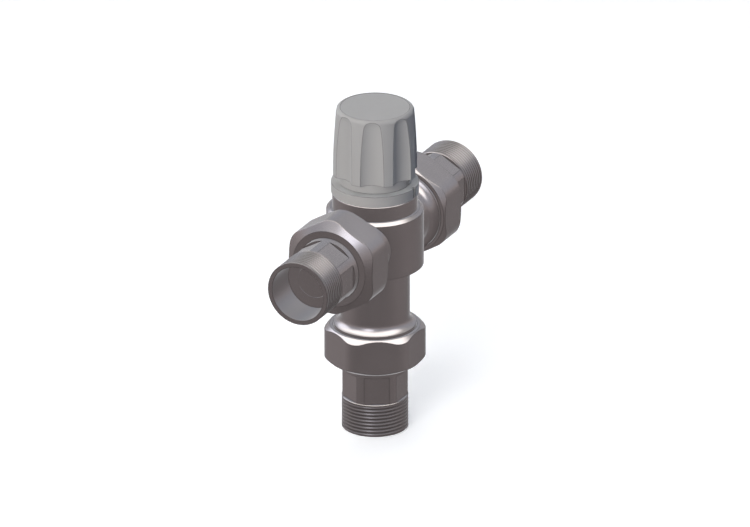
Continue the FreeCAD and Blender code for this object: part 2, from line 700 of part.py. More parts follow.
def build_tailpiece(port, has_seat):
    """A brass tailpiece from its collar to its pipe thread, with a milled hexagon between."""
    body = doc.addObject("PartDesign::Body", port + "_tailpiece")
    body.Label = body.Name
    thread_start = "(flats_start + flats_length)"
    turned(body, "tube", [
        ("0", "0"),
        ("tail_collar_radius", "0"),
        ("tail_collar_radius", "tail_collar_height"),
        ("tail_radius", "tail_collar_height"),
        ("tail_radius", thread_start),
        ("pipe_thread_radius", thread_start),
        ("pipe_thread_radius", "tail_length - edge_bevel"),
        ("pipe_thread_radius - edge_bevel", "tail_length"),
        ("0", "tail_length"),
    ])
    flat = block(body, "flat",
                 ("-1 * tail_radius", "0.5 * tail_flats", "flats_start"),
                 ("2 * tail_radius", "tail_radius", "flats_length"))
    around(body, "flats", [flat], HEXAGON_SIDES)
    if has_seat:
        turned(body, "water_way", [
            ("0", "0"),
            ("cage_flange_radius + fit_gap", "0"),
            ("cage_flange_radius + fit_gap", "cage_flange_height"),
            ("cage_bore", "cage_flange_height"),
            ("cage_bore", LIP_BASE),
            ("lip_bore", LIP_BASE),
            ("lip_bore", LIP_TOP),
            ("tail_bore", LIP_TOP),
            ("tail_bore", "tail_length"),
            ("0", "tail_length"),
        ], cut=True)
    else:
        turned(body, "water_way", [
            ("0", "0"),
            ("cage_bore", "0"),
            ("cage_bore", LIP_TOP),
            ("tail_bore", LIP_TOP),
            ("tail_bore", "tail_length"),
            ("0", "tail_length"),
        ], cut=True)
    at_port(body, port, "gasket_thickness")
    return body


def build_nut(port):
    """A union nut: a hexagon with rounded corners, bevelled at both ends, bored in two steps."""
    body = doc.addObject("PartDesign::Body", port + "_nut")
    body.Label = body.Name
    flats = "(2 * (union_radius + nut_thread_gap + nut_side))"
    blank = hexagon(body, "blank", flats, NUT_HEIGHT)
    doc.recompute()
    upright = ["Edge%d" % number for number, edge in enumerate(blank.Shape.Edges, start=1)
               if edge.BoundBox.ZLength > value_of("nut_wall")]
    corners = body.newObject("PartDesign::Fillet", body.Name + "_corners")
    corners.Base = (blank, upright)
    bind(corners, "Radius", "nut_corner")
    body.Tip = corners
    beyond = "(%s / sqrt(3) + past)" % flats
    corner = "(%s / sqrt(3) - nut_corner * (2 / sqrt(3) - 1))" % flats
    back = "(0.5 * %s - nut_back_step)" % flats
    front = "(0.5 * %s - nut_front_step)" % flats
    back_rise = "(nut_back_bevel * (%s - %s) / (%s - %s))" % (beyond, back, corner, back)
    front_rise = "(nut_front_bevel * (%s - %s) / (%s - %s))" % (beyond, front, corner, front)
    turned(body, "back_bevel", [
        (back, "0"),
        (beyond, "0"),
        (beyond, back_rise),
    ], cut=True)
    turned(body, "front_bevel", [
        (front, NUT_HEIGHT),
        (beyond, "%s - %s" % (NUT_HEIGHT, front_rise)),
        (beyond, NUT_HEIGHT),
    ], cut=True)
    turned(body, "bore", [
        ("0", "0"),
        ("union_radius + nut_thread_gap", "0"),
        ("union_radius + nut_thread_gap", NUT_DEPTH),
        ("tail_radius + nut_hole_gap", NUT_DEPTH),
        ("tail_radius + nut_hole_gap", NUT_HEIGHT),
        ("0", NUT_HEIGHT),
    ], cut=True)
    at_port(body, port, "-1 * nut_overlap")
    return body


def build_gasket(port):
    """A flat fibre gasket between the neck's face and the tailpiece's collar."""
    body = doc.addObject("PartDesign::Body", port + "_gasket")
    body.Label = body.Name
    turned(body, "washer", [
        ("gasket_inner", "0"),
        ("gasket_outer", "0"),
        ("gasket_outer", "gasket_thickness"),
        ("gasket_inner", "gasket_thickness"),
    ])
    at_port(body, port, "0")
    return body


def build_check_cage(port):
    """The check valve's plastic cage: flange, sleeve, and a hub on arms that guides the poppet."""
    body = doc.addObject("PartDesign::Body", port + "_check_cage")
    body.Label = body.Name
    sleeve = "(cage_bore - fit_gap)"
    inside = "(%s - cage_wall)" % sleeve
    arm_start = "0.5 * (poppet_stem + cage_hub_radius)"
    turned(body, "sleeve", [
        (inside, "0"),
        ("cage_flange_radius", "0"),
        ("cage_flange_radius", "cage_flange_height"),
        (sleeve, "cage_flange_height"),
        (sleeve, "cage_flange_height + cage_length"),
        (inside, "cage_flange_height + cage_length"),
    ])
    arm = block(body, "arm",
                (arm_start, "-0.5 * cage_arm_width", "cage_flange_height"),
                ("%s + 0.5 * cage_wall - %s" % (inside, arm_start), "cage_arm_width", "cage_arm_height"),
                cut=False)
    around(body, "arms", [arm], "cage_arm_count")
    turned(body, "hub", [
        ("poppet_stem + fit_gap", "cage_flange_height"),
        ("cage_hub_radius", "cage_flange_height"),
        ("cage_hub_radius", "cage_flange_height + cage_hub_height"),
        ("poppet_stem + fit_gap", "cage_flange_height + cage_hub_height"),
    ])
    at_port(body, port, "gasket_thickness")
    return body


def build_check_poppet(port):
    """The check valve's poppet: a stem, the disc that meets the lip, and a nose flush with it."""
    body = doc.addObject("PartDesign::Body", port + "_check_poppet")
    body.Label = body.Name
    disc_top = "(%s - poppet_seat_gap)" % LIP_BASE
    disc_base = "(%s - poppet_disc_height)" % disc_top
    nose_top = "(%s - poppet_seat_gap)" % LIP_TOP
    nose_radius = "lip_bore - poppet_nose_gap"
    turned(body, "mushroom", [
        ("0", "cage_flange_height"),
        ("poppet_stem", "cage_flange_height"),
        ("poppet_stem", disc_base),
        ("poppet_disc", disc_base),
        ("poppet_disc", disc_top),
        (nose_radius, disc_top),
        (nose_radius, nose_top),
        ("0", nose_top),
    ])
    at_port(body, port, "gasket_thickness")
    return body


def build_check_spring(port):
    """The check valve's light spring, between the cage's hub and the poppet's disc."""
    body = coil(port + "_check_spring", "0", CHECK_SPRING_SPACE, "check_coil", "check_wire", "check_turns")
    at_port(body, port, "gasket_thickness + " + CHECK_SPRING_BASE)
    return body


nodes = [
    build_valve_body(),
    build_bonnet(),
    ring_seal("bonnet_o_ring", "%s + ring_groove_start + 0.5 * ring_groove_height" % BONNET_BASE,
              "shank_radius", "bonnet_seal_wire"),
    build_lock_ring(),
    build_knob(),
    build_spindle(),
    ring_seal("spindle_o_ring", "%s + 0.5 * bonnet_roof" % CAVITY_TOP, "bearing_radius", "spindle_seal_wire"),
    clip("spindle_circlip", "%s + fit_gap + seal_gap" % STEM_TOP,
         "bearing_radius - clip_depth + seal_gap", "bearing_radius + clip_reach"),
    build_carrier(),
    coil("overload_spring", "%s + plunger_height" % PLUNGER_BASE, OVERLOAD_SPACE,
         "overload_coil", "overload_wire", "overload_turns"),
    build_plunger(),
    clip("carrier_circlip", "%s + carrier_clip_start + seal_gap" % CARRIER_BASE,
         "pocket_radius - clip_reach", "pocket_radius + clip_depth - seal_gap"),
    build_pin(),
    build_element(),
    build_shuttle(),
    ring_seal("shuttle_o_ring", PORT_Z, "(shuttle_bore - seal_gap)", "shuttle_seal_wire"),
    coil("return_spring", "%s - ledge_depth" % PORT_Z, "(ledge_depth - hub_half)",
         "return_coil", "return_wire", "return_turns"),
]
for port in ("hot", "cold", "outlet"):
    nodes.append(build_gasket(port))
    nodes.append(build_tailpiece(port, has_seat=port != "outlet"))
    nodes.append(build_nut(port))
for port in ("hot", "cold"):
    nodes.append(build_check_cage(port))
    nodes.append(build_check_poppet(port))
    nodes.append(build_check_spring(port))

doc.recompute()

# Every feature has to have worked, and every piece has to be a sound solid.
for thing in doc.Objects:
    if "Invalid" in thing.State or "Error" in thing.State:
        raise RuntimeError("%s failed: %s" % (thing.Name, thing.State))
for node in nodes:
    if node.Shape.isNull() or not node.Shape.isValid():
        raise RuntimeError(node.Label + " has no sound shape")

os.makedirs("parts", exist_ok=True)
for node in nodes:
    node.Shape.exportStep("parts/%s.step" % node.Label)
    box = node.Shape.BoundBox
    print("%-20s solids %d  volume %9.1f  x %7.2f %7.2f  z %7.2f %7.2f" % (
        node.Label, len(node.Shape.Solids), node.Shape.Volume, box.XMin, box.XMax, box.ZMin, box.ZMax))
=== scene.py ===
"""Thermostatic mixing valve: satin nickel brass with a moulded grey knob, dressed round the CAD frame."""
import json
import math

import bmesh
import bpy
from mathutils import Matrix, Vector


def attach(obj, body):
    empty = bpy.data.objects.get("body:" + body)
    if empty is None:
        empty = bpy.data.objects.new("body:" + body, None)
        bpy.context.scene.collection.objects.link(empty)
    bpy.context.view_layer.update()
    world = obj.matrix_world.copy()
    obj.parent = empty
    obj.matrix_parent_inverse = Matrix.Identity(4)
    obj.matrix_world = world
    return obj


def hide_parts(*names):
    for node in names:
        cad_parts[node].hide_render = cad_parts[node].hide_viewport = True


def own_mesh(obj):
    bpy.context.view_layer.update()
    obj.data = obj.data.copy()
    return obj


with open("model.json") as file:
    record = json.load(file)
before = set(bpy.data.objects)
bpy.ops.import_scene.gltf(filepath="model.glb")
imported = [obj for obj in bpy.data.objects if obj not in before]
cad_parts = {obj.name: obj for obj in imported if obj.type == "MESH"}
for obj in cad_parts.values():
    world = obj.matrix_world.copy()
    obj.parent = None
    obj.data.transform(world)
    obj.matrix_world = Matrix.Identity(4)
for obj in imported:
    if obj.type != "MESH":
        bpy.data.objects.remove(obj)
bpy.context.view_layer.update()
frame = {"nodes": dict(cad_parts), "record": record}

MM = 0.001

# The photograph's view: a level camera turned from the front and raised, with no perspective.
VIEW_AZIMUTH = math.radians(-63.4)
VIEW_ELEVATION = math.radians(23.4)
VIEW_WIDTH = 0.2969
VIEW_AIM = Vector((0, 0, 0.0692))
VIEW_DISTANCE = 1.2
TO_RIGHT = (math.cos(VIEW_AZIMUTH), math.sin(VIEW_AZIMUTH), 0)
TO_CAMERA = (math.sin(VIEW_AZIMUTH), -math.cos(VIEW_AZIMUTH), 0)
WHITE, BLACK = (1.0, 1.0, 1.0), (0.0, 0.0, 0.0)

# Sizes of the object, millimetres, as the CAD model has them, and the faces of its meshes.
PORT_Z = 82.5
SIDE_SEAT = 34.3
OUTLET_SEAT = 48.4
GASKET = 1.6
TAIL_LENGTH = 32.5
COLLAR_RADIUS, COLLAR_HEIGHT = 15.0, 2.5
TAIL_RADIUS = 13.0
TAIL_FLATS = 24.0
THREAD_RADIUS = 13.22
TAIL_BORE, TAIL_BORE_DEPTH = 11.3, 14.3
CAGE_BORE = 10.5
CAGE_FLANGE, CAGE_FLANGE_HEIGHT = 12.05, 1.2
LIP_BORE, LIP_THICKNESS = 7.0, 1.5
NUT_FLATS, NUT_CORNER = 37.0, 8.0
NUT_OVERLAP, NUT_WALL = 9.5, 2.4
NUT_BACK_RADIUS, NUT_BACK_BEVEL = 18.0, 1.9
NUT_FRONT_RADIUS, NUT_FRONT_BEVEL = 16.0, 2.4
NUT_BORE, NUT_HOLE = 16.6, 13.15
HEAD_TOP = 100.7
LOCK_RADIUS, LOCK_INNER, LOCK_HEIGHT = 17.45, 12.05, 4.4
NOTCH_WIDTH, NOTCH_DEPTH = 1.6, 0.9
KNOB_BASE, KNOB_HEIGHT = 105.4, 31.45
SKIRT_RADIUS, SKIRT_HEIGHT = 14.55, 3.7
RIB_BASE, RIB_TOP, RIB_CURVE = 17.0, 15.65, 220.0
RIM_HEIGHT, RIM_CURVE, KNOB_FLAT = 1.7, 1.8, 13.9
FLUTES, FLUTE_RADIUS, FLUTE_FLOOR, FLUTE_DROP = 8, 7.2, 14.6, 3.45
FLUTE_SHARE = 0.3                    # of the mesh's angles on half a flute
TOP_STEP = 0.1
KNOB_HOLLOW, KNOB_ROOF, BOSS_RADIUS, BOSS_START = 12.5, 2.6, 6.6, 13.3
SOCKET_FLATS, SOCKET_DEPTH = 7.1, 10.05

# The milled flats, as the photograph shows them: 1.2 mm nearer the nut than in the CAD model (8.8, 11.3).
FLATS_START, FLATS_LENGTH = 7.6, 11.4

# The visible thread, which the CAD model leaves to this script, and its end chamfer (0.8 in the CAD model).
THREAD_PITCH, THREAD_DEPTH = 1.45, 0.24
THREAD_RUN_OUT = 0.9
END_CHAMFER = 0.12

TURN = 2 * math.pi


# ---------------------------------------------------------------- materials

METALLIC, METAL_GRAIN = 0.9, 0.01
METAL_EDGE, PLASTIC_EDGE = 0.00036, 0.0003      # widths of the lines at edges, metres


def node_material(name):
    """A new material with its node tree, shader and object coordinates."""
    material = bpy.data.materials.new(name)
    material.use_nodes = True
    tree = material.node_tree
    shader = tree.nodes["Principled BSDF"]
    where = tree.nodes.new("ShaderNodeTexCoord").outputs["Object"]
    return material, tree, shader, where


def noise(tree, where, scale, detail=4.0, roughness=0.5):
    """A noise texture's value at a scale in features per metre."""
    texture = tree.nodes.new("ShaderNodeTexNoise")
    texture.inputs["Scale"].default_value = scale
    texture.inputs["Detail"].default_value = detail
    texture.inputs["Roughness"].default_value = roughness
    tree.links.new(where, texture.inputs["Vector"])
    return texture.outputs["Fac"]


def spread(tree, value, low, high, start=0.3, end=0.7):
    """The value from start to end, stretched to run from low to high."""
    step = tree.nodes.new("ShaderNodeMapRange")
    step.inputs["From Min"].default_value = start
    step.inputs["From Max"].default_value = end
    step.inputs["To Min"].default_value = low
    step.inputs["To Max"].default_value = high
    tree.links.new(value, step.inputs["Value"])
    return step.outputs["Result"]


def ramp(tree, value, colours):
    """A colour ramp from (place, colour) pairs."""
    node = tree.nodes.new("ShaderNodeValToRGB")
    stops = node.color_ramp.elements
    while len(stops) < len(colours):
        stops.new(0.5)
    for stop, (place, colour) in zip(stops, colours):
        stop.position = place
        stop.color = (*colour, 1)
    tree.links.new(value, node.inputs["Fac"])
    return node.outputs["Color"]


def mix_colour(tree, factor, first, second, blend="MIX"):
    """Two colours mixed by a factor, each one a socket or a triple."""
    node = tree.nodes.new("ShaderNodeMix")
    node.data_type = "RGBA"
    node.blend_type = blend
    for socket, value in ((node.inputs[0], factor), (node.inputs[6], first), (node.inputs[7], second)):
        if isinstance(value, bpy.types.NodeSocket):
            tree.links.new(value, socket)
        elif isinstance(value, tuple):
            socket.default_value = (*value, 1)
        else:
            socket.default_value = value
    return node.outputs[2]


def calculate(tree, operation, first, second=None):
    """A sum in the node tree, of sockets or numbers."""
    node = tree.nodes.new("ShaderNodeMath")
    node.operation = operation
    for socket, value in zip(node.inputs, (first, second)):
        if value is None:
            continue
        if isinstance(value, bpy.types.NodeSocket):
            tree.links.new(value, socket)
        else:
            socket.default_value = value
    return node.outputs[0]


def dot_with(tree, where, axis):
    """How far a vector reaches along a fixed axis."""
    node = tree.nodes.new("ShaderNodeVectorMath")
    node.operation = "DOT_PRODUCT"
    node.inputs[1].default_value = axis
    tree.links.new(where, node.inputs[0])
    return node.outputs["Value"]


def stretched(tree, where, scale):
    """Coordinates scaled along each axis, for brushed or turned grain."""
    node = tree.nodes.new("ShaderNodeMapping")
    node.inputs["Scale"].default_value = scale
    tree.links.new(where, node.inputs["Vector"])
    return node.outputs["Vector"]


def bump(tree, shader, height, strength, distance):
    """Relief on the shader's normal from a height."""
    node = tree.nodes.new("ShaderNodeBump")
    node.inputs["Strength"].default_value = strength
    node.inputs["Distance"].default_value = distance
    tree.links.new(height, node.inputs["Height"])
    tree.links.new(node.outputs["Normal"], shader.inputs["Normal"])


def edge_mask(tree, radius, sharpness):
    """1 within a radius of a sharp edge, where the materials draw a darker line, and 0 elsewhere."""
    round_edge = tree.nodes.new("ShaderNodeBevel")
    round_edge.samples = 6
    round_edge.inputs["Radius"].default_value = radius
    plain = tree.nodes.new("ShaderNodeNewGeometry")
    dot = tree.nodes.new("ShaderNodeVectorMath")
    dot.operation = "DOT_PRODUCT"
    tree.links.new(round_edge.outputs["Normal"], dot.inputs[0])
    tree.links.new(plain.outputs["Normal"], dot.inputs[1])
    return spread(tree, dot.outputs["Value"], 1.0, 0.0, sharpness, 0.9995)


def painted_crevice_shade(tree, distance, strength):
    """Painted shade: up to a strength where another surface is near, darkening creases and gaps where shade falls.
    """
    nearness = tree.nodes.new("ShaderNodeAmbientOcclusion")
    nearness.samples = 8
    nearness.inputs["Distance"].default_value = distance
    return spread(tree, nearness.outputs["AO"], strength, 0.0, 0.15, 0.75)


def metal(name, light, dark, edge, roughness, edge_line=0.9):
    """Plated or turned metal: a slightly cloudy tint, fine grain, a darker line at its edges, and painted shade in
    its crevices.
    """
    material, tree, shader, where = node_material(name)
    clouds = ramp(tree, noise(tree, where, 55.0, 2.0), [(0.3, dark), (0.7, light)])
    specks = spread(tree, noise(tree, where, 2600.0, 2.0), 0.98, 1.02)
    tinted = mix_colour(tree, 1.0, clouds, specks, "MULTIPLY")
    mask = calculate(tree, "MULTIPLY", edge_mask(tree, METAL_EDGE, 0.994), edge_line)
    # Painted shade: the crevice mask darkens the colour where another surface is near, joined with the edge line.
    edge_line_and_painted_shade = calculate(tree, "MAXIMUM", mask, painted_crevice_shade(tree, 0.0012, 0.7))
    tree.links.new(mix_colour(tree, edge_line_and_painted_shade, tinted, edge), shader.inputs["Base Color"])
    patchy = spread(tree, noise(tree, where, 90.0, 2.0), roughness - 0.015, roughness + 0.02)
    tree.links.new(patchy, shader.inputs["Roughness"])
    shader.inputs["Metallic"].default_value = METALLIC
    shader.inputs["Specular Tint"].default_value = (0.6, 0.6, 0.6, 1.0)
    bump(tree, shader, noise(tree, where, 2200.0, 3.0, 0.6), METAL_GRAIN, 0.00004)
    return material


def plastic(name, light, dark, roughness, coat, grain):
    """Moulded plastic: slight flow marks, fine sheen grain and a soft gloss."""
    material, tree, shader, where = node_material(name)
    flow = noise(tree, stretched(tree, where, (60.0, 60.0, 22.0)), 1.0, 5.0)
    mask = calculate(tree, "MULTIPLY", edge_mask(tree, PLASTIC_EDGE, 0.99), 0.8)
    shade = tuple(0.3 * part for part in dark)
    tree.links.new(mix_colour(tree, mask, ramp(tree, flow, [(0.3, dark), (0.7, light)]), shade),
                   shader.inputs["Base Color"])
    tree.links.new(spread(tree, noise(tree, where, 420.0), roughness - 0.04, roughness + 0.05),
                   shader.inputs["Roughness"])
    shader.inputs["Specular IOR Level"].default_value = 0.06
    shader.inputs["Coat Weight"].default_value = coat
    shader.inputs["Coat Roughness"].default_value = 0.2
    bump(tree, shader, noise(tree, where, 3200.0, 2.0), grain, 0.00003)
    return material


BRASS_LIGHT, BRASS_DARK, BRASS_EDGE = (0.132, 0.111, 0.108), (0.121, 0.101, 0.098), (0.036, 0.029, 0.027)
# Painted shade: a darker copy of the brass for the inside of the bore.
BORE_PAINTED_SHADE_LIGHT, BORE_PAINTED_SHADE_DARK = (0.106, 0.091, 0.090), (0.098, 0.084, 0.083)
# Painted shade: darker copies of the brass for the thread's roots and, less dark, its crests.
PAINTED_ROOT_SHADE_LIGHT, PAINTED_ROOT_SHADE_DARK = (0.066, 0.056, 0.054), (0.056, 0.047, 0.045)
PAINTED_CREST_SHADE_LIGHT, PAINTED_CREST_SHADE_DARK = (0.096, 0.081, 0.078), (0.088, 0.073, 0.071)
FINISHES = {
    "brass": metal("satin_nickel_brass", BRASS_LIGHT, BRASS_DARK, BRASS_EDGE, 0.25),
    "seat_metal": metal("turned_nickel_brass", BRASS_LIGHT, BRASS_DARK, BRASS_EDGE, 0.25),
    "grey_plastic": plastic("moulded_grey_plastic", (0.405, 0.394, 0.386), (0.385, 0.374, 0.366), 0.5, 0.0, 0.10),
    "white_plastic": plastic("moulded_white_plastic", (0.80, 0.79, 0.75), (0.74, 0.73, 0.69), 0.42, 0.1, 0.12),
    "seal_rubber": plastic("seal_rubber", (0.030, 0.030, 0.031), (0.022, 0.022, 0.023), 0.55, 0.0, 0.3),
    "fibre": plastic("pressed_fibre", (0.075, 0.066, 0.058), (0.05, 0.044, 0.04), 0.8, 0.0, 0.6),
    "spring_steel": metal("drawn_steel", (0.42, 0.42, 0.43), (0.36, 0.36, 0.37), (0.12, 0.12, 0.12), 0.24),
    "copper": metal("plain_copper", (0.62, 0.33, 0.22), (0.52, 0.27, 0.18), (0.2, 0.1, 0.07), 0.3),
}


# Painted shade in the bore's darker tint; its higher roughness is the machined surface.
MACHINED_BORE_PAINTED_SHADE_FINISH = metal("machined_bore_painted_shade", BORE_PAINTED_SHADE_LIGHT, BORE_PAINTED_SHADE_DARK, BRASS_EDGE, 0.34)
# Painted shade: the darkest copy of the brass, for the thread roots.
PAINTED_ROOT_SHADE_FINISH = metal("thread_roots_painted_shade", PAINTED_ROOT_SHADE_LIGHT, PAINTED_ROOT_SHADE_DARK, BRASS_EDGE, 0.35, edge_line=0.0)
PLAIN_FINISH = metal("plain_nickel_brass", BRASS_LIGHT, BRASS_DARK, BRASS_EDGE, 0.25, edge_line=0.0)
# Painted shade: a less dark copy of the brass, for the thread crests.
PAINTED_CREST_SHADE_FINISH = metal("thread_crests_painted_shade", PAINTED_CREST_SHADE_LIGHT, PAINTED_CREST_SHADE_DARK, BRASS_EDGE, 0.3, edge_line=0.0)
UNLINED = ("bonnet", "hot_check_poppet", "cold_check_poppet")


# ---------------------------------------------------------------- meshes

EASE_STEPS = 3                       # faces round an eased corner
BORE_PAINTED_SHADE_SLOT, PAINTED_ROOT_SHADE_SLOT, PLAIN_SLOT, PAINTED_CREST_SHADE_SLOT = range(1, 5)      # after the brass that a piece gets first


def soft_min(first, second, blend):
    """The smaller of two lengths, with the change from one to the other rounded over a length."""
    gap = abs(first - second)
    if gap >= blend:
        return min(first, second)
    return min(first, second) - (blend - gap) ** 2 / (4 * blend)


def ringed_piece(name, rows, angles, sharp=34):
    """A mesh of rings round the Z axis. A row is (height, radius) or (height, function of the angle),
    with a third item where a row moves its angles to follow an edge, and the last row joins the first."""
    mesh = bpy.data.meshes.new(name)
    points = []
    for height, radius, *moved in rows:
        for angle in angles:
            angle = moved[0](angle) if moved else angle
            reach = radius(angle) if callable(radius) else radius
            points.append((reach * math.cos(angle) * MM, reach * math.sin(angle) * MM, height * MM))
    count = len(angles)
    faces = []
    for row in range(len(rows)):
        following = (row + 1) % len(rows)
        for step in range(count):
            beside = (step + 1) % count
            faces.append((row * count + step, row * count + beside,
                          following * count + beside, following * count + step))
    mesh.from_pydata(points, [], faces)
    work = bmesh.new()
    work.from_mesh(mesh)
    bmesh.ops.remove_doubles(work, verts=work.verts, dist=1e-7)
    bmesh.ops.recalc_face_normals(work, faces=work.faces)
    work.to_mesh(mesh)
    work.free()
    mesh.polygons.foreach_set("use_smooth", [True] * len(mesh.polygons))
    mesh.set_sharp_from_angle(angle=math.radians(sharp))
    piece = bpy.data.objects.new(name, mesh)
    bpy.context.scene.collection.objects.link(piece)
    return piece


def even_angles(count, extra=()):
    """Angles all the way round, with extra ones where an edge needs them."""
    return sorted({round(TURN * step / count, 9) for step in range(count)} | {round(a % TURN, 9) for a in extra})


def heights(start, end, step):
    """Heights from start to end at about a step apart, both ends included."""
    count = max(1, round(abs(end - start) / step))
    return [start + (end - start) * index / count for index in range(count + 1)]


def eased_corner(rows, radius):
    """Rows of plain radii with each marked corner rounded: a row is (height, radius) or, for a corner
    to round, (height, radius, True)."""
    made = []
    count = len(rows)
    for index, row in enumerate(rows):
        if len(row) == 2:
            made.append(row)
            continue
        here = Vector((row[1], row[0]))
        before = Vector((rows[index - 1][1], rows[index - 1][0])) - here
        after = Vector((rows[(index + 1) % count][1], rows[(index + 1) % count][0])) - here
        reach = min(radius, before.length / 2.2, after.length / 2.2)
        first, last = here + before.normalized() * reach, here + after.normalized() * reach
        for step in range(EASE_STEPS + 1):
            t = step / EASE_STEPS
            spot = first * (1 - t) ** 2 + here * 2 * t * (1 - t) + last * t ** 2
            made.append((spot.y, spot.x))
    return made


def hexagon_reach(angle, flats):
    """How far a hexagon with a flat at 30 degrees reaches at an angle, from its width across flats."""
    step, turn = TURN / 6, math.pi / 6
    away = (angle - turn + step / 2) % step - step / 2
    return flats / 2 / math.cos(away)


def hexagon_with_round_corners(angle, flats, corner):
    """How far a hexagon with flats at 30 degrees and rounded corners reaches at an angle."""
    step = math.pi / 3
    away = abs((angle + step / 2) % step - step / 2)
    centre = (flats / 2 - corner) / math.cos(step / 2)
    tangent = math.atan2(centre * math.sin(step / 2), flats / 2)
    if away < step / 2 - tangent:
        side = centre * math.sin(away)
        return centre * math.cos(away) + math.sqrt(corner * corner - side * side)
    return flats / 2 / math.cos(step / 2 - away)


def place_at_port(piece, port, offset):
    """Turn a piece made along +Z to point out of a port, its start beyond the union face."""
    turns = {"hot": -math.pi / 2, "cold": math.pi / 2, "outlet": math.pi}
    places = {
        "hot": (-(SIDE_SEAT + offset) * MM, 0, PORT_Z * MM),
        "cold": ((SIDE_SEAT + offset) * MM, 0, PORT_Z * MM),
        "outlet": (0, 0, (PORT_Z - OUTLET_SEAT - offset) * MM),
    }
    piece.data.transform(Matrix.Translation(places[port]) @ Matrix.Rotation(turns[port], 4, "Y"))
    piece.data.update()


def thread_reach(angle, height, start, end):
    """The radius of the thread's surface at an angle and height, running out at both ends."""
    phase = TURN * (height / THREAD_PITCH - angle / TURN)
    groove = THREAD_DEPTH * (0.5 - 4 / math.pi ** 2 * (math.cos(phase) + math.cos(3 * phase) / 9))
    fade_in = min(1.0, max(0.0, (height - start) / THREAD_RUN_OUT))
    fade_out = min(1.0, max(0.0, (end - height) / (0.5 * THREAD_PITCH)))
    return THREAD_RADIUS - groove * fade_in * fade_out


def make_tailpiece(port, has_seat):
    """A tailpiece with collar, milled hexagon, cut thread and stepped bore, as one closed piece."""
    thread_start = FLATS_START + FLATS_LENGTH
    thread_end = TAIL_LENGTH - END_CHAMFER
    edge = math.acos(TAIL_FLATS / 2 / TAIL_RADIUS)
    flat_edges = [(2 * side + 1) * math.pi / 6 + turn * edge for side in range(6) for turn in (-1, 1)]

    def flats(angle):
        return min(TAIL_RADIUS, hexagon_reach(angle, TAIL_FLATS))

    def thread(height):
        return lambda angle: thread_reach(angle, height, thread_start, thread_end)

    outside = [(0, COLLAR_RADIUS), (COLLAR_HEIGHT, COLLAR_RADIUS), (COLLAR_HEIGHT, TAIL_RADIUS),
               (FLATS_START, TAIL_RADIUS), (FLATS_START, flats), (thread_start, flats),
               (thread_start, THREAD_RADIUS - 0.25), (thread_start + 0.25, THREAD_RADIUS)]
    outside += [(height, thread(height)) for height in heights(thread_start + 0.35, thread_end, 0.11)]
    outside += [(TAIL_LENGTH, THREAD_RADIUS - END_CHAMFER), (TAIL_LENGTH, TAIL_BORE + 0.06),
                (TAIL_LENGTH - 0.06, TAIL_BORE)]
    lip_top = TAIL_LENGTH - TAIL_BORE_DEPTH
    if has_seat:
        inside = [(lip_top, TAIL_BORE), (lip_top, LIP_BORE), (lip_top - LIP_THICKNESS, LIP_BORE),
                  (lip_top - LIP_THICKNESS, CAGE_BORE), (CAGE_FLANGE_HEIGHT, CAGE_BORE),
                  (CAGE_FLANGE_HEIGHT, CAGE_FLANGE), (0, CAGE_FLANGE)]
    else:
        inside = [(lip_top, TAIL_BORE), (lip_top, CAGE_BORE), (0, CAGE_BORE)]
    piece = ringed_piece(port + "_tailpiece_threaded", outside + inside, even_angles(180, flat_edges), sharp=18)
    finish_piece(piece, port + "_tail", "brass")
    for finish in (MACHINED_BORE_PAINTED_SHADE_FINISH, PAINTED_ROOT_SHADE_FINISH, PLAIN_FINISH, PAINTED_CREST_SHADE_FINISH):
        piece.data.materials.append(finish)
    for face in piece.data.polygons:
        reach = math.hypot(face.center.x, face.center.y) / MM
        height = face.center.z / MM
        if reach < TAIL_BORE + 0.04:
            # Painted shade: the bore above the check valve's lip gets the darker copy of the brass.
            face.material_index = BORE_PAINTED_SHADE_SLOT if height > lip_top + 0.01 else PLAIN_SLOT
        elif thread_start + 0.5 < height < thread_end - 0.05:
            # Painted shade: roots take the darkest copy of the brass, crests a less dark one.
            face.material_index = PAINTED_ROOT_SHADE_SLOT if reach < THREAD_RADIUS - 0.55 * THREAD_DEPTH else PAINTED_CREST_SHADE_SLOT
    place_at_port(piece, port, GASKET)
    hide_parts(port + "_tailpiece")
    return piece


def make_nut(port):
    """A union nut with rounded corners, bevelled at both ends, its edges eased as on a plated nut."""
    height = NUT_OVERLAP + GASKET + COLLAR_HEIGHT + NUT_WALL
    depth = height - NUT_WALL
    corner = NUT_FLATS / math.sqrt(3) - NUT_CORNER * (2 / math.sqrt(3) - 1)
    back_slope = (corner - NUT_BACK_RADIUS) / NUT_BACK_BEVEL
    front_slope = (corner - NUT_FRONT_RADIUS) / NUT_FRONT_BEVEL

    def outline(level):
        cone = min(NUT_BACK_RADIUS + back_slope * level, NUT_FRONT_RADIUS + front_slope * (height - level))
        return lambda angle: soft_min(hexagon_with_round_corners(angle, NUT_FLATS, NUT_CORNER), cone, 0.1)

    levels = heights(0, 2.4, 0.08) + heights(3.0, height - 3.4, 1.5) + heights(height - 2.9, height, 0.08)
    rows = [(level, outline(level)) for level in levels]
    rows += eased_corner([(height, NUT_HOLE, True), (depth, NUT_HOLE), (depth, NUT_BORE), (0, NUT_BORE, True)], 0.2)
    piece = ringed_piece(port + "_nut_plated", rows, even_angles(360))
    place_at_port(piece, port, -NUT_OVERLAP)
    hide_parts(port + "_nut")
    return finish_piece(piece, port + "_union", "brass")


def notched(radius):
    """A radius with the index notch cut towards -Y."""
    half = math.asin(NOTCH_WIDTH / 2 / radius)

    def reach(angle):
        away = abs((angle - 1.5 * math.pi + math.pi) % TURN - math.pi)
        return (radius - NOTCH_DEPTH) / math.cos(away) if away < half else radius
    return reach


